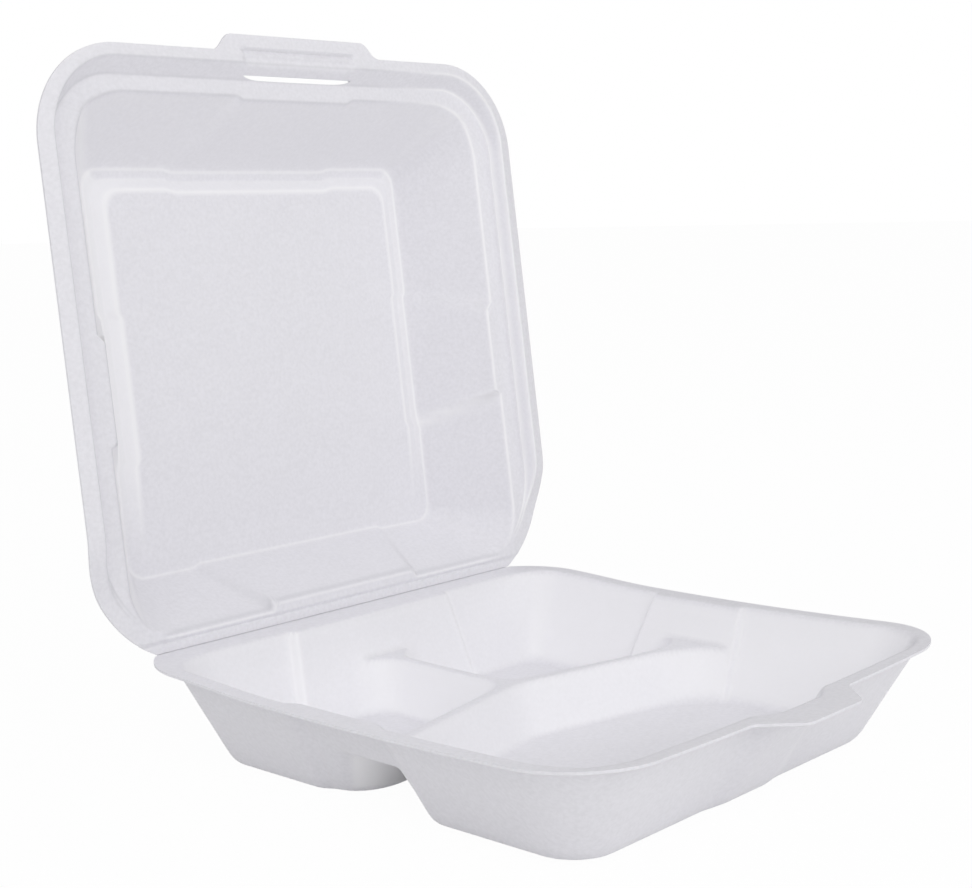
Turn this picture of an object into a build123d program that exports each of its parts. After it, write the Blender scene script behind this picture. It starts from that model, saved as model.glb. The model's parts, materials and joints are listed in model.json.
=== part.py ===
from build123d import *
import os
from math import cos, radians, sin, sqrt, tan

# A hinged foam food box: a three-compartment tray and a lid, formed from one sheet and
# joined by a crease along the tray's rear edge. Millimetres, +Z up, base on z = 0.

# Sheet and play
sheet = 2.2             # thickness of the formed foam sheet
seat_gap = 0.3          # play between the lid's ledge and the tray's flange
crease_gap = 0.15       # each flange ends this far from the crease line

# Tray: flange, walls and floor
tray_width = 214.0
tray_depth = 208.0
tray_height = 38.0
tray_front_radius = 31.0
tray_rear_radius = 34.0
tray_rear_cut = 8.0     # the crease cuts the rear corner arcs this far inside their tangent
side_flange = 7.0
front_flange = 6.0
rear_flange = 11.0
side_draft = 27.0       # wall slopes in degrees from upright
front_draft = 27.0
rear_draft = 16.5
rim_corner_radius = 24.0
floor_corner_radius = 14.0
floor_fillet = 5.0

# Tray: dividers
divider_height = 22.0   # crest above the table
divider_draft = 20.0
crest_half = 0.8        # half width of the flat along the crest
crest_round = 2.2       # height of the rounding under the crest
junction_y = 20.0       # where the three dividers meet
arm_slope = 12.5        # the two cross arms run forward by this many degrees
apex_radius = 40.0
junction_radius = 9.0
flare_run = 9.0         # slanted corners where a divider runs into a wall, at the crest
flare_taper = 0.2       # how fast that run falls towards the floor

# Centre panels pressed into the walls. Pairs are at the rim and at the wall's far edge.
panel_inset = 3.0
panel_y = -2.0                  # side panels' centre, from the middle of the tray
tray_side_panel = (19.0, 26.0)  # half widths
tray_rear_margin = (61.0, 36.5) # from each end of the wall to the panel
front_bulge = (5.0, 1.0)        # the front wall's middle stands out under the tongue
bulge_half = 11.0
bulge_slant = 2.4               # length of its slanted ends for each millimetre that it stands out

# Tongue on the tray's front flange
tongue_root = 55.0
tongue_tip = 31.0
tongue_reach = 12.5
tongue_radius = 3.0

# Lid: stepped lip, ledge, walls and top
lip_drop = 5.2          # the outer lip hangs this far below the tray's flange top
side_lip = 6.0          # width of the lip outside its step
front_lip = 4.2
side_step = 1.6         # level run of the step between the lip and the ledge
front_step = 4.6
lid_side_play = 5.2     # the lip's step clears the tray's flange by this much
lid_front_play = 0.6
lid_front_radius = 36.0
lid_rear_radius = 47.0
lid_rear_cut = 5.0
side_ledge = 8.7
front_ledge = 6.9
rear_ledge = 5.6
lid_depth = 31.5        # inner depth at the foot of the walls
lid_side_draft = 36.5
lid_front_draft = 36.8
lid_rear_draft = 30.3
ledge_corner_radius = 24.0
foot_corner_radius = 8.0
top_fillet = 3.0        # rounding between the walls and the top
top_rise = 2.5          # the top is pressed inward by this much
top_bevel = 7.0         # from the walls' foot to the pressed top
lid_panel_y = 9.0       # side panels' centre, from the middle of the tray
lid_inset = (3.0, 1.3)
lid_side_panel = (19.0, 27.0)
lid_rear_margin = (67.0, 33.0)
lid_front_panel = (28.0, 38.0)

# Lid: pull tab, its pressed bead and the slot for the tongue
tab_x = 3.0
tab_root = 85.0
tab_tip = 66.0
tab_reach = 6.3
tab_radius = 7.0
bead_length = 56.0
bead_width = 4.4
bead_depth = 1.5
slot_length = 55.0
slot_width = 2.6

# Pose
open_angle = 96.8       # how far the lid stands open at rest, from closed

hinge_y = tray_depth / 2
hinge_z = tray_height
under_crest = divider_height - 1.5 * sheet  # top of the hollow under the dividers
far = 400.0             # longer than the whole box, for cutting blocks


def slope(angle):
    return tan(radians(angle))


def skin(angle):
    # Sheet thickness measured level, on a wall with this draft.
    return sheet / cos(radians(angle))


def outline(corners, z):
    # A level face at height z through (x, y, radius) corners. A radius of 0 keeps the corner sharp.
    starts, mids, ends = [], [], []
    count = len(corners)
    for i, (x, y, r) in enumerate(corners):
        here = Vector(x, y, z)
        back = (Vector(*corners[i - 1][:2], z) - here).normalized()
        ahead = (Vector(*corners[(i + 1) % count][:2], z) - here).normalized()
        half = radians(back.get_angle(ahead)) / 2
        starts.append(here + back * (r / tan(half)))
        ends.append(here + ahead * (r / tan(half)))
        mids.append(here + (back + ahead).normalized() * (r / sin(half) - r))
    edges = []
    for i in range(count):
        if corners[i][2]:
            edges.append(Edge.make_three_point_arc(starts[i], mids[i], ends[i]))
        edges.append(Edge.make_line(ends[i], starts[(i + 1) % count]))
    return Face(Wire(edges))


def through(sections):
    # A solid through level sections, given as (corners, z) from one end to the other.
    return Solid(Solid.make_loft([outline(c, z).outer_wire() for c, z in sections], ruled=True).wrapped)


def plate(corners, low, high):
    return extrude(outline(corners, low), amount=high - low, dir=(0, 0, 1))


def panelled(x, y0, y1, r, panels, side_y):
    # Corners of a frame, even about x = 0, whose sides carry centre panels: front, side and rear.
    # A panel is its half width, how far it stands inward, and the run of its slanted ends.
    front, side, rear = panels
    frame = [(-x, y0, r), (x, y0, r), (x, y1, r), (-x, y1, r)]
    centres = [(0, y0), (x, side_y), (0, y1), (-x, side_y)]
    along = [(1, 0), (0, 1), (-1, 0), (0, -1)]
    corners = []
    for corner, (cx, cy), (ax, ay), panel in zip(frame, centres, along, (front, side, rear, side)):
        corners.append(corner)
        half, inset, run = panel
        for t, deep in ((-half - run, 0), (-half, inset), (half, inset), (half + run, 0)):
            corners.append((cx + ax * t - ay * deep, cy + ay * t + ax * deep, 0))
    return corners


def pressed(half, inset):
    return half, inset, inset


def share(pair, part):
    return pair[0] + (pair[1] - pair[0]) * part


def rim_frame(width, y0, y1, cut, front_r, rear_r, tab):
    # A flange outline with a tab on its front edge and rear corner arcs cut off by the crease.
    # The tab is given by its centre, root, tip, reach and corner radius.
    middle, root, tip, reach, r = tab
    return [(-width / 2, y0, front_r), (middle - root / 2, y0, r), (middle - tip / 2, y0 - reach, r),
            (middle + tip / 2, y0 - reach, r), (middle + root / 2, y0, r), (width / 2, y0, front_r),
            (width / 2, y1 + cut, rear_r), (-width / 2, y1 + cut, rear_r)]


def front_of(y):
    # A block holding everything in front of the plane at y.
    return Pos(0, y - far / 2, 0) * Box(far, far, far)


def edge_round(rise, radius, draft):
    # How far a rounded inside edge stands in from a drafted wall, at this rise above the floor.
    if rise >= radius * (1 - sin(radians(draft))):
        return 0.0
    foot = radius * tan(radians(90 - draft) / 2)
    return foot - sqrt(radius ** 2 - (radius - rise) ** 2) + rise * slope(draft)


def floor_round(z, outer, draft):
    return edge_round(z if outer else z - sheet, floor_fillet + outer * sheet, draft)


def tray_walls(z, outer):
    # Half width, front, rear and corner radius of the tray's walls at a height,
    # on the sheet's inner face or, with outer set, on its outer face.
    def inset(draft):
        return (tray_height - z) * slope(draft) - outer * skin(draft) + floor_round(z, outer, draft)

    x = tray_width / 2 - side_flange - inset(side_draft)
    y0 = -tray_depth / 2 + front_flange + inset(front_draft)
    y1 = tray_depth / 2 - rear_flange - inset(rear_draft)
    r = share((rim_corner_radius, floor_corner_radius), 1 - z / tray_height) + outer * sheet
    return x, y0, y1, r - floor_round(z, outer, side_draft)


def tray_panels(z):
    # The bulge in the front wall and the panels in the side and rear walls at a height.
    part = 1 - z / tray_height
    wall_end = tray_width / 2 - side_flange - (tray_height - z) * slope(side_draft)
    bulge = share(front_bulge, part)
    return ((bulge_half, -bulge, bulge * bulge_slant), pressed(share(tray_side_panel, part), panel_inset),
            pressed(wall_end - share(tray_rear_margin, part), panel_inset))


def basin_section(z, outer):
    return panelled(*tray_walls(z, outer), tray_panels(z), panel_y), z


def divider_half(z, outer):
    # Half width of a divider: rounded at the crest, then drafted.
    fall = divider_height - z
    full = crest_half + crest_round * 0.8
    if fall < crest_round:
        lean = 1 - fall / crest_round
        return crest_half + (full - crest_half) * sqrt(1 - lean * lean) - outer * sheet
    drafted = full + (fall - crest_round) * slope(divider_draft) - outer * skin(divider_draft)
    return drafted + floor_round(z, outer, divider_draft)


def arm_edge(x, half, side):
    # Edge of a cross arm at x: side is -1 in front of it and 1 behind it.
    return junction_y - abs(x) * slope(arm_slope) + side * half / cos(radians(arm_slope))


def front_pocket_section(z, outer):
    x, y0, y1, r = tray_walls(z, outer)
    (bulge, deep, run), (side, inset, side_run), rear = tray_panels(z)
    half = divider_half(z, outer)
    flare = flare_run - (divider_height - z) * flare_taper
    wall = x - inset
    right = [(bulge, y0 + deep, 0), (bulge + run, y0, 0), (x, y0, r),
             (x, panel_y - side - side_run, 0), (wall, panel_y - side, 0),
             (wall, arm_edge(wall, half, -1) - flare, 0), (wall - flare, arm_edge(wall - flare, half, -1), 0)]
    left = [(-px, py, pr) for px, py, pr in reversed(right)]
    return right + [(0, arm_edge(0, half, -1), apex_radius)] + left, z


def rear_pocket_section(z, outer):
    x, y0, y1, r = tray_walls(z, outer)
    front, (side, inset, side_run), (rear, rear_inset, rear_run) = tray_panels(z)
    half = divider_half(z, outer)
    flare = flare_run - (divider_height - z) * flare_taper
    wall, back = x - inset, y1 - rear_inset
    return [(half, arm_edge(half, half, 1), junction_radius),
            (wall - flare, arm_edge(wall - flare, half, 1), 0), (wall, arm_edge(wall, half, 1) + flare, 0),
            (wall, panel_y + side, 0), (x, panel_y + side + side_run, 0), (x, y1, r),
            (rear + rear_run, y1, 0), (rear, back, 0), (half + flare, back, 0), (half, back - flare, 0)], z


def pocket(section, outer):
    # One compartment below the crest, with a rounded floor edge.
    floor = 0.0 if outer else sheet
    radius = floor_fillet + outer * sheet
    if outer:
        heights = [under_crest]
    else:
        heights = [divider_height - crest_round * part for part in (0, 0.35)]
    heights += [floor + radius * part for part in (0.6, 0.2, 0)]
    return through([section(z, outer) for z in heights])


def make_tray():
    rim = rim_frame(tray_width, -tray_depth / 2, hinge_y, tray_rear_cut, tray_front_radius, tray_rear_radius,
                    (0, tongue_root, tongue_tip, tongue_reach, tongue_radius))
    flange = plate(rim, tray_height - sheet, tray_height) & front_of(hinge_y - crease_gap)
    tray = flange + through([basin_section(tray_height, 1), basin_section(under_crest, 1)])
    hollows = [through([basin_section(tray_height, 0), basin_section(divider_height, 0)])]
    for section in (front_pocket_section, rear_pocket_section):
        tray += pocket(section, 1)
        hollows.append(pocket(section, 0))
    tray += pocket(rear_pocket_section, 1).mirror(Plane.YZ)
    hollows.append(hollows[-1].mirror(Plane.YZ))
    for hollow in hollows:
        tray -= hollow
    return tray


# The lid is drawn closed, with heights above the crease, and then swung open
def step_section(height, outer):
    # The lip's step at a height. It runs straight back past the crease at its rear.
    rise = seat_gap + lip_drop

    def spread(run):
        return run * (seat_gap - height) / rise + outer * sheet * sqrt(run ** 2 + rise ** 2) / rise

    x = tray_width / 2 + lid_side_play + spread(side_step)
    y0 = -tray_depth / 2 - lid_front_play - spread(front_step)
    r = lid_front_radius - front_lip - front_step + spread(front_step)
    back = hinge_y + lid_rear_radius
    return [(-x, y0, r), (x, y0, r), (x, back, r), (-x, back, r)], height


def lid_panels(height):
    rise = height - seat_gap
    part = rise / (lid_depth - seat_gap)
    wall_end = tray_width / 2 + lid_side_play - side_ledge - rise * slope(lid_side_draft)
    inset = share(lid_inset, part)
    return (pressed(share(lid_front_panel, part), inset), pressed(share(lid_side_panel, part), inset),
            pressed(wall_end - share(lid_rear_margin, part), inset))


def lid_wall_section(height, outer):
    # The lid's walls from the ledge up to the top, which rounds into them.
    rise = height - seat_gap
    left = lid_depth + outer * sheet - height

    def inset(draft):
        return rise * slope(draft) - outer * skin(draft) + edge_round(left, top_fillet + outer * sheet, draft)

    x = tray_width / 2 + lid_side_play - side_ledge - inset(lid_side_draft)
    y0 = -tray_depth / 2 - lid_front_play + front_ledge + inset(lid_front_draft)
    y1 = hinge_y - rear_ledge - inset(lid_rear_draft)
    r = share((ledge_corner_radius, foot_corner_radius), rise / (lid_depth - seat_gap)) + outer * sheet
    return panelled(x, y0, y1, r, lid_panels(height), lid_panel_y), height


def pressed_top(outer):
    # The lid's top, pressed inward inside a bevel that starts at the walls' foot.
    foot, level = lid_wall_section(lid_depth, 0)
    x, y0, y1 = max(c[0] for c in foot), min(c[1] for c in foot), max(c[1] for c in foot)
    corners = panelled(x - top_bevel, y0 + top_bevel, y1 - top_bevel, foot_corner_radius - top_bevel / 2,
                       lid_panels(level), lid_panel_y)
    return corners, level + outer * sheet - top_rise


def lid_walls(outer):
    top = lid_depth + outer * sheet
    radius = top_fillet + outer * sheet
    heights = [seat_gap] + [top - radius * part for part in (0.3, 0.08, 0)]
    return through([lid_wall_section(height, outer) for height in heights] + [pressed_top(outer)])


def make_lid():
    front_y = -tray_depth / 2 - lid_front_play
    lip_y = front_y - front_step - front_lip
    rim = rim_frame(tray_width + 2 * (lid_side_play + side_step + side_lip), lip_y, hinge_y, lid_rear_cut,
                    lid_front_radius, lid_rear_radius, (tab_x, tab_root, tab_tip, tab_reach, tab_radius))
    lip = plate(rim, -lip_drop, sheet - lip_drop)
    step = through([step_section(-lip_drop, 1), step_section(seat_gap + sheet, 1)])
    lid = (lip + step) & plate(rim, -lip_drop, lid_depth)
    lid = lid + lid_walls(1)
    lid -= through([step_section(-lip_drop, 0), step_section(seat_gap, 0)])
    lid -= lid_walls(0)
    lid = lid & front_of(hinge_y - crease_gap)

    bead = Pos(tab_x, lip_y, bead_depth / 2 - lip_drop) * Box(bead_length, bead_width, bead_depth)
    lid += Pos(0, 0, sheet) * bead
    lid -= bead
    lid -= Pos(tab_x, front_y - slot_width / 2, 0) * Box(slot_length, slot_width, 4 * lip_drop)
    return Pos(0, hinge_y, hinge_z) * Rot(-open_angle, 0, 0) * Pos(0, -hinge_y, 0) * lid


os.makedirs("parts", exist_ok=True)
for name, part in (("tray", make_tray()), ("lid", make_lid())):
    part.label = name
    export_step(part, f"parts/{name}.step")
    box = part.bounding_box()
    print(name, round(part.volume), "mm3", len(part.solids()), "solid, valid", part.is_valid, box.min, box.max)
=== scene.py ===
import json
import math

import bpy
import numpy as np
from mathutils import Matrix, Vector


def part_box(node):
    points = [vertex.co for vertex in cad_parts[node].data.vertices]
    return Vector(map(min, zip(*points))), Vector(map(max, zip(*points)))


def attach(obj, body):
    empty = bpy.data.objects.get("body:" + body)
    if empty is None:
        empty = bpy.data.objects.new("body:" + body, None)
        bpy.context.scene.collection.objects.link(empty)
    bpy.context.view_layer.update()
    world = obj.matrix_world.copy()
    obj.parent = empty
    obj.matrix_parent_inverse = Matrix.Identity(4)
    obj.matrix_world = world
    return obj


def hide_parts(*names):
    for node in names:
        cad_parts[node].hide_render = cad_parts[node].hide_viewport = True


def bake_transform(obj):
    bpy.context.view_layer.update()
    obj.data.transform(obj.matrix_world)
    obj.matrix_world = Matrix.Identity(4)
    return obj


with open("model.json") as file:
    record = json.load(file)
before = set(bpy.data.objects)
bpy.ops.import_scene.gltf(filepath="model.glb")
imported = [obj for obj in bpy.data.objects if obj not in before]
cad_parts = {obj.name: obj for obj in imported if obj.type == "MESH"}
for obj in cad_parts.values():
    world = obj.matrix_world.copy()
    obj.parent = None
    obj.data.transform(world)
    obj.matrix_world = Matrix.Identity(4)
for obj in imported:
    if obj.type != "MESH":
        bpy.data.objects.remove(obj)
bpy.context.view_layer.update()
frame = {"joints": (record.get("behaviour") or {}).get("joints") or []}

# A hinged foam food box, standing open: tray, lid and the crease between them.
# Lengths are in millimetres until a mesh is made. The lid is drawn closed and then swung open.

mm = 0.001
hinge = frame["joints"][0]
hingeY, hingeZ = hinge["pos_m"][1] / mm, hinge["pos_m"][2] / mm
openAngle = math.radians(180 - hinge["range_deg"][1])   # the joint's upper limit lays the lid flat
trayLow, trayHigh = [np.array(corner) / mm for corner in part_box("tray")]
lidHigh = np.array(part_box("lid")[1]) / mm

sheet = 2.2         # thickness of the foam
creaseGap = hingeY - trayHigh[1]


# Small helpers for height fields

def mix(a, b, part):
    return a + (b - a) * part


def smoothStep(low, high, value):
    t = np.clip((value - low) / (high - low), 0, 1)
    return t * t * (3 - 2 * t)


def window(distance, half, run):
    return 1 - smoothStep(half, half + run, distance)


def softMax(a, b, k):
    return np.maximum(a, b) + np.maximum(k - np.abs(a - b), 0) ** 2 / (4 * k)


def softMin(a, b, k):
    return -softMax(-a, -b, k)


def roundMax(a, b, r):      # two slopes that meet in a round corner
    arc = np.sqrt(np.maximum(2 * r * r - (a - b) ** 2, 0))
    return np.where(np.abs(a - b) < r, (a + b + 2 * r - arc) / 2, np.maximum(a, b))


def roundMin(a, b, r):
    return -roundMax(-a, -b, r)


def slope(angle):
    return math.tan(math.radians(angle))


def bell(distance, width):
    return np.exp(-(distance / width) ** 2)


def spaced(*spans):         # grid lines through (start, end, spacing) spans
    parts = [np.linspace(a, b, max(2, round(abs(b - a) / step) + 1)) for a, b, step in spans]
    return np.unique(np.concatenate(parts).round(4))


def bothSides(*spans):
    half = spaced(*spans)
    return np.unique(np.concatenate([-half, half]).round(4))


# Outlines and sheets

def roundedOutline(corners, arcStep=1.0):
    # A closed line through (x, y, radius) corners, each rounded by a tangent arc.
    points = []
    for i, (x, y, r) in enumerate(corners):
        here = np.array((x, y))
        back = np.array(corners[i - 1][:2]) - here
        ahead = np.array(corners[(i + 1) % len(corners)][:2]) - here
        back, ahead = back / np.linalg.norm(back), ahead / np.linalg.norm(ahead)
        half = math.acos(np.clip(back @ ahead, -1, 1)) / 2
        middle = (back + ahead) / np.linalg.norm(back + ahead)
        centre = here + middle * (r / math.sin(half))
        first, last = here + back * (r / math.tan(half)), here + ahead * (r / math.tan(half))
        a0 = math.atan2(*(first - centre)[::-1])
        a1 = math.atan2(*(last - centre)[::-1])
        turn = (a1 - a0 + math.pi) % (2 * math.pi) - math.pi
        for t in np.linspace(0, 1, max(3, round(abs(turn) * r / arcStep))):
            points.append(centre + r * np.array((math.cos(a0 + turn * t), math.sin(a0 + turn * t))))
    return np.array(points)


def nearestOn(points, line, batch=4000):
    # Nearest place on a closed line for each point, with the signed distance, positive inside.
    a, b = line, np.roll(line, -1, axis=0)
    d = b - a
    length = np.maximum((d * d).sum(1), 1e-12)
    near, signed = np.empty_like(points), np.empty(len(points))
    for start in range(0, len(points), batch):
        p = points[start:start + batch, None, :]
        t = np.clip(((p - a) * d).sum(2) / length, 0, 1)
        foot = a + t[..., None] * d
        gap = np.hypot(*np.moveaxis(p - foot, 2, 0))
        best = gap.argmin(1)
        rows = np.arange(len(best))
        crosses = (a[:, 1] > p[..., 1]) != (b[:, 1] > p[..., 1])
        with np.errstate(divide="ignore", invalid="ignore"):
            at = a[:, 0] + (p[..., 1] - a[:, 1]) * d[:, 0] / d[:, 1]
        inside = (crosses & (p[..., 0] < at)).sum(1) % 2 == 1
        near[start:start + batch] = foot[rows, best]
        signed[start:start + batch] = np.where(inside, 1, -1) * gap[rows, best]
    return near, signed


sheetRules = {
    "trimReach": 0.45,                      # points this share of a cell outside an edge are drawn in to it
    "holeReach": 3.0,                       # points this near a hole can move to its edge
    "pinchShare": 0.4, "pinchRun": 3.5,     # a cut edge is pinched to this share of the thickness
    "ballShares": (0.45, 0.75, 0.9, 0.97), "ballTurns": 16,
}


def secondFace(height, x, y, side):
    # Height of the sheet's other face, as far as a ball of one thickness reaches when it rolls over the first face.
    # Side is -1 below and 1 above.
    best = side * height(x, y) + sheet
    turns = sheetRules["ballTurns"]
    for share in sheetRules["ballShares"]:
        lift = sheet * math.sqrt(1 - share * share)
        for turn in np.arange(turns) * 2 * math.pi / turns:
            moved = height(x + share * sheet * math.cos(turn), y + share * sheet * math.sin(turn))
            best = np.maximum(best, side * moved + lift)
    return side * best


def formSheet(name, points, corners, cell, height, side, edge, outline=None, holes=(), fan=(), paintedShading=None):
    # A closed sheet over four-cornered cells and a fan of triangles, trimmed to its outline and holes.
    # Edge gives the distance from the cut edge, where the sheet is pinched.
    # The shading function gives a value for each face that is painted into the colour: painted light, paler, above 0,
    # and painted shade, darker, below.
    rules = sheetRules
    near, inside = points.copy(), np.full(len(points), np.inf)
    if outline is not None:
        near, inside = nearestOn(points, outline)
    for hole in holes:
        holeNear, inHole = nearestOn(points, hole)
        closer = -inHole < np.minimum(inside, rules["holeReach"])
        near[closer], inside[closer] = holeNear[closer], -inHole[closer]
    kept = inside > -rules["trimReach"] * cell

    count = kept[corners].sum(1)
    quads = corners[count == 4]
    threes = corners[count == 3]
    faces = [tuple(q) for q in quads.tolist()]
    faces += [tuple(v for v in q if kept[v]) for q in threes.tolist()]
    faces += [tuple(f) for f in np.array(fan).tolist()]

    edges = np.array([(f[i - 1], f[i]) for f in faces for i in range(len(f))])
    size = len(points)
    keys, back = edges[:, 0] * size + edges[:, 1], edges[:, 1] * size + edges[:, 0]
    rim = edges[~np.isin(keys, back)]
    onRim = np.unique(rim)
    points[onRim] = near[onRim]

    used = np.unique(edges)
    place = np.full(size, -1)
    place[used] = np.arange(len(used))
    x, y = points[used].T
    top = height(x, y)
    pinch = mix(rules["pinchShare"], 1, smoothStep(0, rules["pinchRun"], edge(x, y)))
    other = mix(top, secondFace(height, x, y, side), pinch)
    n = len(used)
    first = [tuple(place[list(f)].tolist()) for f in faces]
    second = [tuple(v + n for v in f) for f in first]
    if side < 0:
        second = [f[::-1] for f in second]
        sides = [(place[b], place[a], place[a] + n, place[b] + n) for a, b in rim]
    else:
        first = [f[::-1] for f in first]
        sides = [(place[a], place[b], place[b] + n, place[a] + n) for a, b in rim]
    mesh = bpy.data.meshes.new(name)
    vertices = np.concatenate((np.column_stack((x, y, top)), np.column_stack((x, y, other))))
    mesh.from_pydata(vertices, [], first + second + [tuple(int(v) for v in f) for f in sides])
    mesh.polygons.foreach_set("use_smooth", np.ones(len(mesh.polygons), bool))

    # The cut edge stays crisp.
    ends = np.zeros(len(mesh.edges) * 2, int)
    mesh.edges.foreach_get("vertices", ends)
    ends = np.sort(ends.reshape(-1, 2), axis=1)
    cut = np.sort(np.concatenate((place[rim], place[rim] + n)), axis=1)
    total = 2 * n
    sharp = np.isin(ends[:, 0] * total + ends[:, 1], cut[:, 0] * total + cut[:, 1])
    mesh.attributes.new("sharp_edge", "BOOLEAN", "EDGE").data.foreach_set("value", sharp)
    # Painted light and shade go into the colour through this attribute.
    if paintedShading is not None:
        paintedValues = np.concatenate(paintedShading(x, y))
        mesh.attributes.new("paintedShading", "FLOAT", "POINT").data.foreach_set("value", paintedValues)
    piece = bpy.data.objects.new(name, mesh)
    bpy.context.scene.collection.objects.link(piece)
    return piece


def setMesh(piece, transform):
    piece.data.transform(transform)
    piece.data.update()
    print(piece.name, len(piece.data.polygons), "faces")


# Materials

class Signal:
    # A shader socket that can be used in Python sums.
    def __init__(self, board, socket):
        self.board, self.socket = board, socket

    def math(self, operation, a, b):
        return self.board.add("ShaderNodeMath", {"operation": operation}, {0: a, 1: b})["Value"]

    def __add__(self, other):
        return self.math("ADD", self, other)

    def __radd__(self, other):
        return self.math("ADD", other, self)

    def __sub__(self, other):
        return self.math("SUBTRACT", self, other)

    def __rsub__(self, other):
        return self.math("SUBTRACT", other, self)

    def __mul__(self, other):
        return self.math("MULTIPLY", self, other)

    def __rmul__(self, other):
        return self.math("MULTIPLY", other, self)

    def most(self, other):
        return self.math("MAXIMUM", self, other)


class Board:
    # One node tree.
    def __init__(self, tree):
        self.tree = tree
        tree.nodes.clear()

    def add(self, kind, settings=None, inputs=None):
        node = self.tree.nodes.new(kind)
        for key, value in (settings or {}).items():
            setattr(node, key, value)
        for key, value in (inputs or {}).items():
            if isinstance(value, Signal):
                self.tree.links.new(value.socket, node.inputs[key])
            else:
                node.inputs[key].default_value = value
        return {out.name: Signal(self, out) for out in node.outputs if out.enabled}


foamLook = {
    "color": (0.830, 0.822, 0.862, 1),      # formed white foam, faintly cool
    "paleColor": (0.880, 0.872, 0.914, 1),
    # colours for painted light and painted shade, blended in by the painted shading value
    "paintedLightColor": (0.985, 0.980, 1.0, 1),
    "paintedShadeColor": (0.64, 0.635, 0.67, 1),
    "roughness": 0.46, "roughSpread": 0.12,
    "specular": 0.4,
    "grainScale": 700.0,                    # grains to the metre
    "grainBump": 0.07, "bumpStrength": 0.5,     # the first in millimetres
    "mottleScale": 60.0,
    "grainShare": 2.2, "mottleShare": 0.4, "paleStart": 0.8,
}


def makeFoam():
    look = foamLook
    material = bpy.data.materials.new("foam")
    material.use_nodes = True
    board = Board(material.node_tree)
    place = board.add("ShaderNodeTexCoord")["Object"]

    def noise(scale, detail):
        return board.add("ShaderNodeTexNoise", {}, {"Vector": place, "Scale": scale, "Detail": detail})["Fac"]

    def blend(part, a, b):
        return board.add("ShaderNodeMix", {"data_type": "RGBA"}, {"Factor": part, "A": a, "B": b})["Result"]

    grain, mottle = noise(look["grainScale"], 1.0), noise(look["mottleScale"], 2.0)
    pale = grain * look["grainShare"] + mottle * look["mottleShare"] - look["paleStart"]
    color = blend(pale, look["color"], look["paleColor"])
    paintedShading = board.add("ShaderNodeAttribute", {"attribute_name": "paintedShading"})["Fac"]
    # Painted light lightens the colour above 0 and painted shade darkens it below.
    color = blend(paintedShading, color, look["paintedLightColor"])
    color = blend(-1 * paintedShading, color, look["paintedShadeColor"])
    bump = board.add("ShaderNodeBump", {}, {
        "Height": grain, "Strength": look["bumpStrength"], "Distance": look["grainBump"] * mm})["Normal"]
    rough = look["roughness"] + grain * look["roughSpread"] - look["roughSpread"] / 2
    skin = board.add("ShaderNodeBsdfPrincipled", {}, {
        "Base Color": color, "Roughness": rough, "Normal": bump, "Specular IOR Level": look["specular"]})["BSDF"]
    board.add("ShaderNodeOutputMaterial", {}, {"Surface": skin})
    return material


foam = makeFoam()
print("foam ready")


# Tray

trayShape = {
    "tongueReach": 12.5, "tongueRoot": 55.0, "tongueTip": 31.0, "tongueRadius": 5.0,
    "frontRadius": 31.0, "rearRadius": 34.0, "rearCut": 8.0,
    "sideFlange": 7.0, "frontFlange": 6.0, "rearFlange": 11.0,
    "sideDraft": 27.0, "frontDraft": 27.0, "rearDraft": 16.5,
    "rimCorner": 24.0, "floorCorner": 14.0, "floorRound": 4.5, "rimRound": 2.4,
    "panelInset": 3.0, "panelY": 6.0, "sidePanel": (20.8, 25.4), "sideRun": (8.0, 1.8),
    "rearMargin": (61.0, 36.5), "rearRun": 4.0,
    "bulge": (5.0, 1.0), "bulgeHalf": 10.0, "bulgeRun": 13.0,
    "crest": 22.0, "crestHalf": 2.4, "crestRound": 1.3, "dividerDraft": 20.0,
    "junctionY": 20.0, "armSlope": 12.5, "apexRound": 6.0, "junctionRound": 9.0, "flare": 19.0,
    "rimSag": 2.7, "sagFade": (0.35, 0.95),
    "wallPale": (0.45, 0.85), "steepSpan": (0.4, 1.9), "jogPale": 0.5, "jogWidth": 2.4,     # painted light
    "hollowPale": 0.9, "hollowSpan": (1.0, 6.0),
}
trayFront = trayLow[1] + trayShape["tongueReach"]
trayHalf = trayHigh[0]


def depthShare(run, draft):     # how deep a wall is there, as a share of the tray's depth
    return np.clip(run / slope(draft) / hingeZ, 0, 1)


def rearPanelHalf(depth):
    s = trayShape
    wallEnd = trayHalf - s["sideFlange"] - depth * hingeZ * slope(s["sideDraft"])
    return wallEnd - mix(*s["rearMargin"], depth)


def trayWalls(x, y):
    s = trayShape
    across = np.abs(x)
    sideRun = trayHalf - s["sideFlange"] - across
    depth = depthShare(sideRun, s["sideDraft"])
    run = np.where(x < 0, *s["sideRun"])        # softer on the left
    panel = window(np.abs(y - s["panelY"]), mix(*s["sidePanel"], depth) - run / 2, run)
    sideZ = hingeZ - (sideRun - s["panelInset"] * panel) / slope(s["sideDraft"])

    frontRun = y - trayFront - s["frontFlange"]
    depth = depthShare(frontRun, s["frontDraft"])
    bulge = mix(*s["bulge"], depth) * window(across, s["bulgeHalf"], s["bulgeRun"])
    frontZ = hingeZ - (frontRun + bulge) / slope(s["frontDraft"])

    rearRun = hingeY - s["rearFlange"] - y
    panel = window(across, rearPanelHalf(depthShare(rearRun, s["rearDraft"])), s["rearRun"])
    rearZ = hingeZ - (rearRun - s["panelInset"] * panel) / slope(s["rearDraft"])

    crossZ = np.maximum(frontZ, rearZ)
    level = np.clip(np.maximum(sideZ, crossZ) / hingeZ, 0, 1)
    corner = mix(s["floorCorner"], s["rimCorner"], level) / slope(s["sideDraft"])
    return roundMax(sideZ, crossZ, corner)


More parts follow.
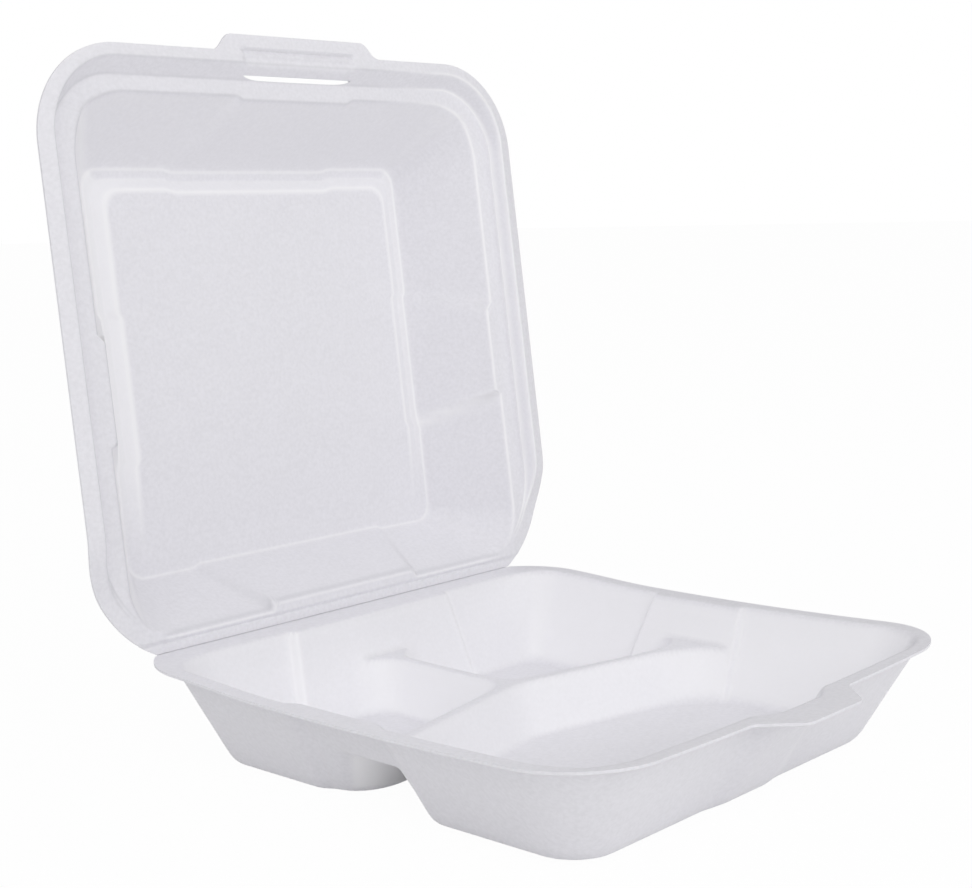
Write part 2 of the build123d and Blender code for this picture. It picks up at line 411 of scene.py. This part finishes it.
def trayHeight(x, y):
    s = trayShape
    walls = trayWalls(x, y)
    lean = slope(s["dividerDraft"])
    arm = s["junctionY"] - slope(s["armSlope"]) * np.hypot(x, s["apexRound"])
    behind = (y - arm) * math.cos(math.radians(s["armSlope"]))

    def ridge(distance):    # side of a divider, carried on above its crest
        return s["crest"] - s["crestRound"] - (distance - s["crestHalf"]) / lean

    flare = s["flare"] / slope((s["dividerDraft"] + s["sideDraft"]) / 2)
    front = roundMax(walls, ridge(-behind), flare)
    middle = roundMax(ridge(behind), ridge(np.abs(x)), s["junctionRound"] / lean)
    rear = roundMax(walls, middle, flare)
    pocket = softMax(np.where(behind < 0, front, rear), sheet, s["floorRound"])
    z = np.maximum(walls, softMin(pocket, s["crest"], s["crestRound"]))
    z = softMin(z, hingeZ, s["rimRound"])

    # The flange hangs a little between its corners.
    a, b = np.clip(np.abs(x) / trayHalf, 0, 1), np.clip(np.abs(y) / -trayFront, 0, 1)
    sag = (1 - (a * b) ** 2) * (1 - smoothStep(*s["sagFade"], y / hingeY))
    return z - s["rimSag"] * sag * np.clip((z - sheet) / (hingeZ - sheet), 0, 1) ** 2


def trayPaintedLight(x, y):
    # Painted light: steep walls are painted paler than the rim, the crests and the floors, and paler still where they
    # face left, as if light came through them; the rear panel's ends get a painted highlight and the hollows under the
    # dividers painted light.
    s = trayShape
    d = 1.0
    riseX = (trayHeight(x + d, y) - trayHeight(x - d, y)) / (2 * d)
    riseY = (trayHeight(x, y + d) - trayHeight(x, y - d)) / (2 * d)
    steep = np.hypot(riseX, riseY)
    facing = np.clip(riseX, 0, steep) / np.maximum(steep, s["steepSpan"][0])
    run = hingeY - s["rearFlange"] - y
    panelEnd = rearPanelHalf(depthShare(run, s["rearDraft"])) + s["rearRun"] / 2
    onRear = run < hingeZ * slope(s["rearDraft"]) + s["panelInset"]
    jog = bell(np.abs(x) - panelEnd, s["jogWidth"]) * onRear
    inner = smoothStep(*s["steepSpan"], steep) * (mix(*s["wallPale"], facing) + s["jogPale"] * jog)
    hollow = trayHeight(x, y) - np.maximum(trayWalls(x, y), sheet)
    return inner, s["hollowPale"] * smoothStep(*s["hollowSpan"], hollow)


def flangeOutline(half, front, rear, cut, frontRadius, rearRadius, tab):
    # A flange with a tab on its front edge. Its rear corners run on behind the crease.
    middle, root, tip, reach, r = tab
    return roundedOutline([
        (-half, front, frontRadius), (middle - root / 2, front, r), (middle - tip / 2, front - reach, r),
        (middle + tip / 2, front - reach, r), (middle + root / 2, front, r), (half, front, frontRadius),
        (half, rear + cut, rearRadius), (-half, rear + cut, rearRadius)])


def makeTray():
    # Grid lines lie closest together along the bends.
    s = trayShape
    xs = bothSides((0, 20, 0.7), (20, 38, 1.4), (38, 48, 1.0), (48, 76, 2.0), (76, 97, 1.2),
                   (97, trayHalf, 0.7))
    ys = spaced((trayLow[1], -95, 0.7), (-95, -78, 1.2), (-78, -32, 2.2), (-32, -18, 1.0), (-18, -6, 1.0),
                (-6, 30, 0.7), (30, 38, 1.0), (38, 70, 2.0), (70, 90, 1.0), (90, trayHigh[1], 0.7))
    whole = flangeOutline(trayHalf, trayFront, hingeY, s["rearCut"], s["frontRadius"], s["rearRadius"],
                          (0, s["tongueRoot"], s["tongueTip"], s["tongueReach"], s["tongueRadius"]))
    outline = np.column_stack((whole[:, 0], np.minimum(whole[:, 1], trayHigh[1])))      # cut off at the crease
    gx, gy = [g.ravel() for g in np.meshgrid(xs, ys, indexing="ij")]
    cell = np.minimum.outer(np.gradient(xs), np.gradient(ys)).ravel()
    index = np.arange(len(gx)).reshape(len(xs), len(ys))
    corners = np.stack((index[:-1, :-1], index[1:, :-1], index[1:, 1:], index[:-1, 1:]), -1).reshape(-1, 4)

    def edge(x, y):
        return nearestOn(np.column_stack((x, y)), whole)[1]

    points = np.column_stack((gx, gy))
    piece = formSheet("tray_foam", points, corners, cell, trayHeight, -1, edge, outline, paintedShading=trayPaintedLight)
    setMesh(piece, Matrix.Scale(mm, 4))
    return piece


tray = makeTray()
tray.data.materials.append(foam)
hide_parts("tray")
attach(tray, "tray")


# Lid

lidShape = {
    "lipDrop": 5.2, "lipFlare": 0.7, "seatGap": 0.3, "stepRound": 0.7, "lipFade": (20.0, 46.0),
    "sideLip": 6.2, "frontLip": 4.5, "sideStep": 1.4, "frontStep": 5.4,
    "frontRadius": 36.0, "rearRadius": 47.0, "rearCut": 5.0,
    "sideLedge": 9.8, "frontLedge": 6.0, "rearLedge": 5.6, "ledgeRound": 0.9,
    "depth": 31.4, "sideDraft": 35.3, "frontDraft": 36.8, "rearDraft": 30.3,
    "ledgeCorner": 24.0, "footCorner": 7.0, "topRound": 1.2,
    "topRise": 2.2, "landDrop": 0.8, "land": 3.4, "bevel": 4.6, "bevelRound": 0.3, "riseFade": (2.0, 50.0),
    "panelInset": (3.0, 1.3), "panelY": 9.0, "sidePanel": (17.5, 27.0), "sideRun": 2.4,
    "rearMargin": (67.0, 33.0), "rearRun": 3.4,
    "frontInset": (1.6, 1.2), "frontMiddle": (3.5, 0.0), "frontPanel": (25.0, 38.0), "frontRun": 6.0,
    "tabX": 3.0, "tabRoot": 81.0, "tabTip": 71.5, "tabReach": 6.3, "tabRound": 3.2,
    "beadHalf": 27.5, "beadRun": 2.0, "beadRise": 1.2, "beadSpan": (-1.4, -0.8),
    "beadGroove": 0.5, "beadRidge": 1.0, "ridgeAt": 1.4, "beadWidths": (0.5, 0.8),
    "slotX": 4.3, "slotHalf": 28.5, "slotStraight": -1.6, "slotBow": (-1.5, 0.2), "bowPower": 8,
    "grooveAt": 3.6, "grooveWidth": 0.45, "grooveDepth": 0.5, "lineAt": 4.7, "lineRise": 0.3,

    # painted light and painted shade
    "footPale": 0.6, "footAt": 0.2, "raisedPale": 0.6, "raisedWidth": 0.7,
    "bandPale": (0.75, 0.45), "bandTurn": (-80.0, -40.0), "bandStart": 0.4, "bandEnd": (-0.5, 1.2),
    "shadeSpan": (0.2, 1.5), "shadeEdge": 0.5,
    "leftPale": 0.8, "frontPale": 0.3, "wallFade": 2.0, "cornerFade": 5.0,
    "jogPale": 0.7, "jogWidth": 3.0, "endLine": 0.4, "endWidth": 2.8, "endFade": 0.7,
    "leftLine": -0.4, "rightLine": 1.0, "lineTurn": (40.0, 100.0), "lineWidth": 0.5, "lineFade": (8.0, 25.0),
    "rearLine": 0.6, "rearLineEnd": (16.0, 6.0),
    "rearBright": (1.0, -0.4, 0.4), "rearDark": (-0.7, 0.9, 0.7),       # strength, place and width
}
lidHalf = lidHigh[0]
lidReach = (lidHigh[2] - hingeZ - lidShape["lipDrop"] * -math.cos(openAngle)) / math.sin(openAngle)
lidFront = hingeY - lidReach + lidShape["tabReach"]
lidDeep = lidShape["depth"] - lidShape["seatGap"]
rearCentre = hingeY + lidShape["rearCut"] - lidShape["rearRadius"]
noseHalf, noseFront = lidHalf - lidShape["sideLip"], lidFront + lidShape["frontLip"]
seatHalf, seatFront = noseHalf - lidShape["sideStep"], noseFront + lidShape["frontStep"]
wallHalf, wallFront = seatHalf - lidShape["sideLedge"], seatFront + lidShape["frontLedge"]
wallRear = hingeY - lidShape["rearLedge"]


def insideFrame(x, y, half, front, inset):
    # Distance inward from one of the lip's lines, which run on behind the crease.
    s = lidShape
    back = hingeY + s["rearCut"] - inset
    middle, depth = (front + back) / 2, (back - front) / 2
    r = np.where(y < middle, s["frontRadius"], s["rearRadius"]) - inset
    qx, qy = np.abs(x) - half + r, np.abs(y - middle) - depth + r
    return r - np.hypot(np.maximum(qx, 0), np.maximum(qy, 0)) - np.minimum(np.maximum(qx, qy), 0)


def lipBends(x, y):
    # Distance inward from the two bends of the lip's step.
    s = lidShape
    return (insideFrame(x, y, noseHalf, noseFront, s["sideLip"]),
            insideFrame(x, y, seatHalf, seatFront, s["sideLip"] + s["sideStep"]))


def panelSpan(wall, part):
    # Middle and half width of a wall's centre panel, at a share of the walls' depth.
    s = lidShape
    if wall == "front":
        return mix(*s["frontMiddle"], part), mix(*s["frontPanel"], part)
    if wall == "side":
        return s["panelY"], mix(*s["sidePanel"], part)
    wallEnd = wallHalf - part * lidDeep * slope(s["sideDraft"])
    return 0, wallEnd - mix(*s["rearMargin"], part)


def pressedIn(wall, along, part):
    # How far that panel stands in.
    s = lidShape
    middle, half = panelSpan(wall, part)
    inset = s["frontInset"] if wall == "front" else s["panelInset"]
    return mix(*inset, part) * window(np.abs(along - middle), half, s[wall + "Run"])


def wallShare(wall, run):
    return np.clip(run / slope(lidShape[wall + "Draft"]) / lidDeep, 0, 1)


def wallRuns(x, y):
    # Distance inward from the upper edge of the side, front and rear walls.
    walls = (("side", wallHalf - np.abs(x), y), ("front", y - wallFront, x), ("rear", wallRear - y, x))
    return [run - pressedIn(wall, along, wallShare(wall, run)) for wall, run, along in walls]


def insideFoot(runs):
    # Distance inward from the walls' foot, and from the front and the rear wall's alone.
    s = lidShape
    side, front, rear = [run - lidDeep * slope(s[wall + "Draft"]) for run, wall in zip(runs, ("side", "front", "rear"))]
    return roundMin(side, np.minimum(front, rear), s["footCorner"]), front, rear


def wallRise(runs):
    # How far the walls have risen, carried on above their foot.
    s = lidShape
    side, front, rear = [run / slope(s[wall + "Draft"]) for run, wall in zip(runs, ("side", "front", "rear"))]
    cross = np.minimum(front, rear)
    level = np.clip(np.minimum(side, cross) / lidDeep, 0, 1)
    return roundMin(side, cross, mix(s["ledgeCorner"], s["footCorner"], level) / slope(s["sideDraft"]))


def lidWalls(x, y):
    # The top is pressed inward inside a sloping land along the walls' foot, less and less towards the rear.
    s = lidShape
    runs = wallRuns(x, y)
    foot, _, rearFoot = insideFoot(runs)
    ramp = (foot - s["land"]) / s["bevel"]
    ramp = softMin(softMax(ramp, 0, s["bevelRound"]), 1, s["bevelRound"])
    land = s["landDrop"] * (1 - np.clip(foot / s["land"], 0, 1))
    top = lidDeep - (s["topRise"] * ramp + land) * smoothStep(*s["riseFade"], rearFoot)
    return s["seatGap"] + softMin(wallRise(runs), top, s["topRound"])


def footPaintedLight(runs, x):
    # Painted light: paler lines along the walls' foot and round the raised top, and a paler band on the land and bevel.
    s = lidShape
    foot, frontFoot, rearFoot = insideFoot(runs)
    land, raised = s["land"], s["land"] + s["bevel"]
    offLand = smoothStep(land - s["shadeEdge"], land + s["shadeEdge"], foot)
    shaded = (1 - smoothStep(*s["shadeSpan"], frontFoot - foot)) * (1 - offLand)     # the land along the front wall
    start, end = s["bandStart"], s["bandEnd"]
    band = smoothStep(-start, start, foot) * (1 - smoothStep(raised + end[0], raised + end[1], foot)) * (1 - shaded)
    band = mix(*s["bandPale"], smoothStep(*s["bandTurn"], x)) * band
    line = s["raisedPale"] * bell(foot - raised, s["raisedWidth"])
    footLine = s["footPale"] * bell(foot - s["footAt"], s["lineWidth"])
    return footLine + (band + line) * smoothStep(*s["riseFade"], rearFoot)


def wallPaintedShading(runs, x, y):
    # Painted light where light comes through the left and the front wall, and where the side panels' rear ends catch
    # light from the tray;
    # painted shade where the left end of the rear panel lies in shade.
    s = lidShape
    side, front, rear = runs
    near = s["cornerFade"]
    onWall = (insideFoot(runs)[0] < 0) * smoothStep(0, s["wallFade"], wallRise(runs))
    onSide = smoothStep(-near, near, np.minimum(front, rear) - side)
    onFront = smoothStep(-near, near, np.minimum(side, rear) - front)
    onRear = smoothStep(-near, near, np.minimum(side, front) - rear)

    middle, half = panelSpan("side", wallShare("side", wallHalf - np.abs(x)))
    lit = s["jogPale"] * bell(y - (middle + half + s["sideRun"] / 2), s["jogWidth"]) + s["leftPale"] * (x < 0)
    part = wallShare("rear", wallRear - y)
    half = panelSpan("rear", part)[1]
    dim = s["endLine"] * bell(x + (half + s["rearRun"] / 2), s["endWidth"]) * (1 - s["endFade"] * part)
    return onWall * (np.minimum(lit, 1) * onSide + s["frontPale"] * onFront - dim * onRear)


def bendPaintedLines(runs, x, y):
    # The lip's bends show as thin painted lines: painted shade at the left and painted highlights at the right.
    # The rear wall's upper edge shows as a painted highlight line and a painted shade line.
    s = lidShape
    bends = (*lipBends(x, y), wallRise(runs) * slope(s["sideDraft"]))
    lines = sum(bell(distance, s["lineWidth"]) for distance in bends) * smoothStep(*s["lineFade"], hingeY - y)
    lines = lines * mix(s["leftLine"], s["rightLine"], smoothStep(*s["lineTurn"], x))
    margin, fade = s["rearLineEnd"]
    rear = sum(strength * bell(runs[2] - place, width) for strength, place, width in (s["rearBright"], s["rearDark"]))
    return lines + s["rearLine"] * rear * window(np.abs(x), wallHalf - margin, fade)


def lidPaintedShading(x, y):
    # Painted light and painted shade on the lid's inner face, none on its outer face.
    runs = wallRuns(x, y)
    inner = footPaintedLight(runs, x) + wallPaintedShading(runs, x, y) + bendPaintedLines(runs, x, y)
    return inner, np.zeros_like(inner)


def lidHeight(x, y):
    s = lidShape
    nose, seat = lipBends(x, y)
    low = -s["lipDrop"] - s["lipFlare"]
    lip = low + 2 * s["lipFlare"] * np.clip(-nose / s["sideLip"], 0, 1)

    # Pressed bead behind the tab's edge.
    out = y - lidFront
    zone = window(np.abs(x - s["tabX"]), s["beadHalf"], s["beadRun"])
    rise = s["beadRise"] * smoothStep(*s["beadSpan"], out)
    groove = s["beadGroove"] * bell(out - s["beadSpan"][1], s["beadWidths"][0])
    ridge = s["beadRidge"] * bell(out - s["ridgeAt"], s["beadWidths"][1])
    lip = lip + zone * (rise + groove - ridge)

    step = mix(low, s["seatGap"], nose / (nose - seat))
    rim = softMin(softMax(lip, step, s["stepRound"]), s["seatGap"], s["stepRound"])
    rim = mix(s["seatGap"], rim, smoothStep(*s["lipFade"], hingeY - y))

    # A groove and a ridge run beside the crease.
    groove = s["grooveDepth"] * bell(hingeY - y - s["grooveAt"], s["grooveWidth"])
    line = s["lineRise"] * bell(hingeY - y - s["lineAt"], s["grooveWidth"])
    return softMax(rim, lidWalls(x, y), s["ledgeRound"]) + groove - line


def slotOutline():
    # A slot with one straight edge and one that bows in at its ends.
    s = lidShape
    t = np.linspace(-1, 1, 81)
    x = s["slotX"] + s["slotHalf"] * t
    straight = np.column_stack((x, np.full_like(x, seatFront + s["slotStraight"])))
    bowed = np.column_stack((x, seatFront + mix(*s["slotBow"], 1 - np.abs(t) ** s["bowPower"])))[::-1]
    return np.concatenate((straight, bowed))


ringSteps = {       # places along each stretch of a line round the lid
    "front": spaced((0, 0.26, 0.026), (0.26, 0.58, 0.0125), (0.58, 1, 0.03))[:-1], "frontArc": 40,
    "side": spaced((0, 0.22, 0.02), (0.22, 0.36, 0.008), (0.36, 0.54, 0.02), (0.54, 0.7, 0.008), (0.7, 1, 0.022))[1:-1],
    "rear": spaced((0, 0.32, 0.03), (0.32, 0.66, 0.015), (0.66, 1, 0.03))[:-1], "rearArc": 36,
    "cell": 0.4, "fan": 0.12,
}
onLine = 0.01       # points this near a line count as on it


def frameRing(half, front, frontR, centre, rearR, turn=math.pi / 2):
    # One line round the lid: front edge, corner, side, rear corner and rear edge, then mirrored.
    s = ringSteps
    a = np.linspace(-math.pi / 2, 0, s["frontArc"])
    b = np.linspace(0, turn, s["rearArc"])
    endX, endY = half - rearR + rearR * math.cos(turn), centre + rearR * math.sin(turn)
    x = np.concatenate((
        s["front"] * (half - frontR), half - frontR + frontR * np.cos(a), np.full(len(s["side"]), half),
        half - rearR + rearR * np.cos(b), s["rear"][::-1] * endX))
    y = np.concatenate((
        np.full(len(s["front"]), front), front + frontR + frontR * np.sin(a), mix(front + frontR, centre, s["side"]),
        centre + rearR * np.sin(b), np.full(len(s["rear"]), endY)))
    return np.concatenate((np.column_stack((x, y)), np.column_stack((-x, y))[-2:0:-1]))


def wallRing(part, inset=0.0):
    # A line round the lid's walls, at a share of their depth and then this far inside.
    s = lidShape
    run = [part * lidDeep * slope(s[name]) + inset for name in ("sideDraft", "frontDraft", "rearDraft")]
    half, front, rear = wallHalf - run[0], wallFront + run[1], wallRear - run[2]
    r = mix(s["ledgeCorner"], s["footCorner"], part)
    ring = frameRing(half, front, r, rear - r, r)
    x, y = ring.T
    onFront, onRear = y < front + onLine, y > rear - onLine
    onSide = np.abs(x) > half - onLine
    y[onFront] += pressedIn("front", x[onFront], part)
    y[onRear] -= pressedIn("rear", x[onRear], part)
    x[onSide] -= np.sign(x[onSide]) * pressedIn("side", y[onSide], part)
    return ring


def lidRings():
    # Nested lines from the lip's edge to the middle of the top, closest together along each bend.
    s = lidShape
    turn = math.asin((hingeY - creaseGap - rearCentre) / s["rearRadius"])
    edge = frameRing(lidHalf, lidFront, s["frontRadius"], rearCentre, s["rearRadius"], turn)
    x, y = edge.T
    lean = s["tabReach"] / ((s["tabRoot"] - s["tabTip"]) / 2)
    tab = lean * (s["tabRoot"] / 2 - np.abs(x - s["tabX"]))
    tab = softMax(softMin(tab, s["tabReach"], s["tabRound"]), 0, s["tabRound"])
    y -= np.where(y < lidFront + onLine, tab, 0)
    inset = s["sideLip"] + s["sideStep"]
    keys = [
        (edge, (0, 0.03, *np.arange(0.06, 0.9, 0.05), 0.92, 0.96)),
        (frameRing(noseHalf, noseFront, s["frontRadius"] - s["sideLip"], rearCentre, s["rearRadius"] - s["sideLip"]),
         (0, 0.06, 0.13, 0.22, 0.33, 0.45, 0.57, 0.68, 0.78, 0.87, 0.94)),
        (frameRing(seatHalf, seatFront, s["frontRadius"] - inset, rearCentre, s["rearRadius"] - inset),
         (0, 0.03, 0.07, 0.13, 0.2, 0.28, 0.36, 0.45, 0.6, 0.75, 0.87, 0.93, 0.97)),
        (wallRing(0), (0, 0.012, 0.026, 0.05, 0.1, 0.2, 0.35, 0.5, 0.65, 0.8, 0.9, 0.95, 0.975, 0.99)),
        (wallRing(1), (0, 0.06, 0.14, 0.3, 0.6, 0.82, 0.92)),
        (wallRing(1, s["land"]), (0, 0.1, 0.2, 0.35, 0.5, 0.65, 0.8, 0.9)),
        (wallRing(1, s["land"] + s["bevel"]), (0, 0.03, 0.08, 0.2, 0.5, 0.8)),
    ]
    middle = np.array((0.0, (wallFront + wallRear) / 2))
    last = mix(middle, keys[-1][0], ringSteps["fan"])
    rings = []
    for (here, steps), (ahead, _) in zip(keys, keys[1:] + [(last, ())]):
        rings += [mix(here, ahead, t) for t in steps]
    return rings, middle


def makeLid():
    rings, middle = lidRings()
    count = len(rings[0])
    points = np.concatenate(rings + [middle[None]])
    around = np.arange(count)
    ahead = (around + 1) % count
    cells = [np.column_stack((around, ahead, ahead + count, around + count)) + k * count for k in range(len(rings) - 1)]
    last = (len(rings) - 1) * count
    fan = np.column_stack((around + last, ahead + last, np.full(count, len(points) - 1)))

    slot = slotOutline()

    def edge(x, y):
        inSlot = nearestOn(np.column_stack((x, y)), slot)[1]
        return np.minimum(insideFrame(x, y, lidHalf, lidFront, 0), -inSlot)

    piece = formSheet("lid_foam", points, np.concatenate(cells), ringSteps["cell"], lidHeight, 1, edge,
                      holes=[slot], fan=fan, paintedShading=lidPaintedShading)
    toHinge = Matrix.Translation((0, -hingeY, 0))
    swing = Matrix.Rotation(-openAngle, 4, "X")
    setMesh(piece, Matrix.Scale(mm, 4) @ Matrix.Translation((0, hingeY, hingeZ)) @ swing @ toHinge)
    return piece


lid = makeLid()
lid.data.materials.append(foam)
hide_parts("lid")
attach(lid, "lid")


# Crease: the bent foam between the two flanges

creaseShape = {"half": 93.0, "inner": 0.1, "steps": 12, "lengths": 40}


def makeCrease():
    s = creaseShape
    start, end = math.radians(-90), math.radians(90) - openAngle
    xs = np.linspace(-s["half"], s["half"], s["lengths"] + 1)
    arc = np.linspace(start, end, s["steps"] + 1)
    ring = [(r, a) for r, angles in ((sheet, arc), (s["inner"], arc[::-1])) for a in angles]
    vertices = [(x, hingeY + r * math.cos(a), hingeZ + r * math.sin(a)) for x in xs for r, a in ring]
    n = len(ring)
    faces = [(i * n + j, i * n + (j + 1) % n, (i + 1) * n + (j + 1) % n, (i + 1) * n + j)
             for i in range(len(xs) - 1) for j in range(n)]
    faces += [tuple(range(n))[::-1], tuple(range((len(xs) - 1) * n, len(xs) * n))]
    mesh = bpy.data.meshes.new("crease_foam")
    mesh.from_pydata(vertices, [], faces)
    piece = bpy.data.objects.new("crease_foam", mesh)
    bpy.context.scene.collection.objects.link(piece)
    setMesh(piece, Matrix.Scale(mm, 4))
    return piece


crease = makeCrease()
crease.data.materials.append(foam)
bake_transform(crease)


# Stage, light and camera

stageLook = {
    "floor": (0.95, 0.95, 0.95, 1), "floorSize": 30.0, "floorDrop": 0.0003, "whiteShare": 0.97,
    "zenith": 0.67, "leftward": 0.29, "horizon": 0.05,     # soft light from overhead and from the left
}


def makeStage():
    look = stageLook
    half = look["floorSize"] / 2
    mesh = bpy.data.meshes.new("floor")
    mesh.from_pydata([(-half, -half, 0), (half, -half, 0), (half, half, 0), (-half, half, 0)], [], [(0, 1, 2, 3)])
    floor = bpy.data.objects.new("floor", mesh)
    floor.location.z = -look["floorDrop"]
    bpy.context.scene.collection.objects.link(floor)
    material = bpy.data.materials.new("floor")
    material.use_nodes = True
    board = Board(material.node_tree)
    path = board.add("ShaderNodeLightPath")
    seen = path["Is Camera Ray"].most(path["Is Glossy Ray"]).most(path["Is Transmission Ray"])
    matte = board.add("ShaderNodeBsdfDiffuse", {}, {"Color": look["floor"]})["BSDF"]
    white = board.add("ShaderNodeEmission", {}, {"Color": (1, 1, 1, 1), "Strength": 1.0})["Emission"]
    both = board.add("ShaderNodeMixShader", {}, {0: seen * look["whiteShare"], 1: matte, 2: white})["Shader"]
    board.add("ShaderNodeOutputMaterial", {}, {"Surface": both})
    mesh.materials.append(material)

    world = bpy.data.worlds.new("studio")
    bpy.context.scene.world = world
    world.use_nodes = True
    board = Board(world.node_tree)
    path = board.add("ShaderNodeLightPath")
    seen = path["Is Camera Ray"].most(path["Is Transmission Ray"])
    way = board.add("ShaderNodeTexCoord")["Generated"]
    axes = board.add("ShaderNodeSeparateXYZ", {}, {0: way})
    rise, left = axes["Z"].most(0.0), (-1 * axes["X"]).most(0.0)
    glow = look["horizon"] + look["zenith"] * rise + look["leftward"] * left
    light = board.add("ShaderNodeBackground", {}, {"Color": (1, 1, 1, 1), "Strength": glow})["Background"]
    white = board.add("ShaderNodeBackground", {}, {"Color": (1, 1, 1, 1), "Strength": 1.0})["Background"]
    both = board.add("ShaderNodeMixShader", {}, {0: seen, 1: light, 2: white})["Shader"]
    board.add("ShaderNodeOutputWorld", {}, {"Surface": both})


lampPlan = {
    "aim": (0, 0, 0.1), "size": 1.4,
    "right": {"place": (1.0, -1.5, 0.8), "power": 7.4},
    "left": {"place": (-0.9, -1.5, 1.0), "power": 8.1},
    "high": {"place": (-1.5, -0.5, 1.2), "power": 3.2},
}


def makeLamps():
    for name in ("right", "left", "high"):
        lamp = bpy.data.lights.new(name, "AREA")
        lamp.shape = "DISK"
        lamp.size = lampPlan["size"]
        lamp.energy = lampPlan[name]["power"]
        piece = bpy.data.objects.new(name, lamp)
        piece.location = lampPlan[name]["place"]
        aim = Vector(lampPlan["aim"]) - piece.location
        piece.rotation_euler = aim.to_track_quat("-Z", "Y").to_euler()
        bpy.context.scene.collection.objects.link(piece)


cameraPlan = {
    "place": (-0.45243, -0.38646, 0.19149), "target": (0.00108, 0.02996, 0.10839),
    "roll": -0.0252, "focalPixels": 1711.5, "imageWidth": 972, "farClip": 50,
}


def makeCamera():
    plan = cameraPlan
    data = bpy.data.cameras.new("camera")
    data.sensor_fit = "HORIZONTAL"
    data.lens = plan["focalPixels"] / plan["imageWidth"] * data.sensor_width
    data.clip_end = plan["farClip"]
    camera = bpy.data.objects.new("camera", data)
    place = Vector(plan["place"])
    ahead = (Vector(plan["target"]) - place).normalized()
    right = ahead.cross(Vector((0, 0, 1))).normalized()
    up = right.cross(ahead)
    c, s = math.cos(plan["roll"]), math.sin(plan["roll"])
    right, up = c * right + s * up, c * up - s * right
    camera.matrix_world = Matrix.Translation(place) @ Matrix((right, up, -ahead)).transposed().to_4x4()
    bpy.context.scene.collection.objects.link(camera)
    bpy.context.scene.camera = camera


makeStage()
makeLamps()
makeCamera()
bpy.context.scene.view_settings.view_transform = "Standard"
print("stage, lamps and camera ready")

bpy.context.view_layer.update()
